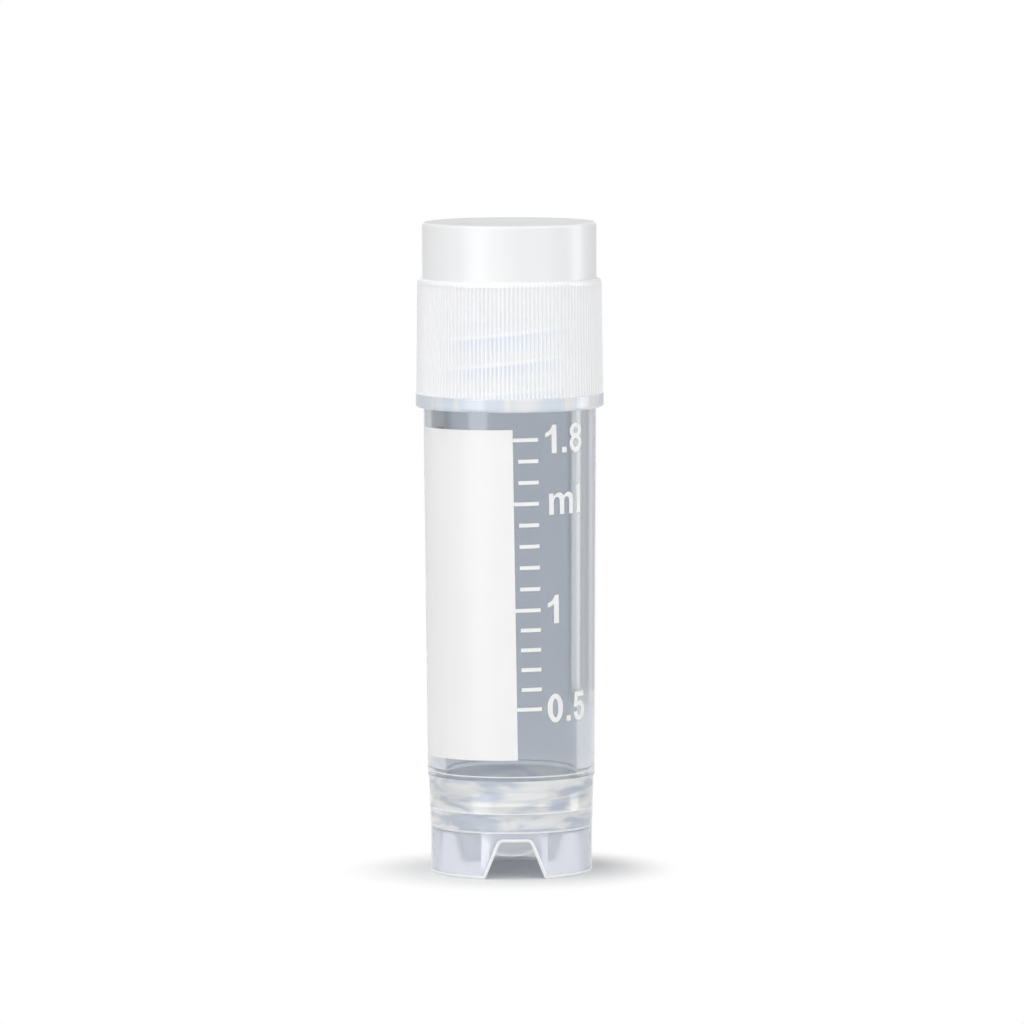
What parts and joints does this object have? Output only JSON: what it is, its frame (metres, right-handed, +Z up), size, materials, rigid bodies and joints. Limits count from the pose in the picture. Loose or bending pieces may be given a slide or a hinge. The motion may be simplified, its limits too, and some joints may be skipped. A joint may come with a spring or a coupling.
{
  "type": "cryovial",
  "caption": "Self-standing plastic freezing vial with a notched foot skirt, a drafted tube, an external screw thread and a finely ribbed screw cap with a smooth head.",
  "frame": {"origin": "middle of the plane that the foot skirt stands on, on the tube's axis", "axes": "+Z up the tube's axis towards the cap, -Y the front with the graduations and the first notch"},
  "size_m": [0.0136, 0.0136, 0.0471],
  "materials": {
    "vial": "clear natural polypropylene, glossy",
    "cap": "translucent white plastic, satin gloss",
    "gasket": "milky silicone, matt"
  },
  "bodies": {
    "vial": {"vial": "vial"},
    "gasket": {"gasket": "gasket"},
    "cap": {"cap": "cap"}
  },
  "joints": [
    {"name": "cap_lift", "type": "slide", "parent": "vial", "child": "gasket", "axis": [0, 0, 1], "range_m": [0, 0.0147]},
    {"name": "cap_turn", "type": "hinge", "parent": "gasket", "child": "cap", "pos_m": [0, 0, 0.0446], "axis": [0, 0, 1], "range_deg": [0, 1261]}
  ],
  "couplings": [
    {"joint": "cap_turn", "follows": "cap_lift", "rad_per_m": 1496}
  ]
}
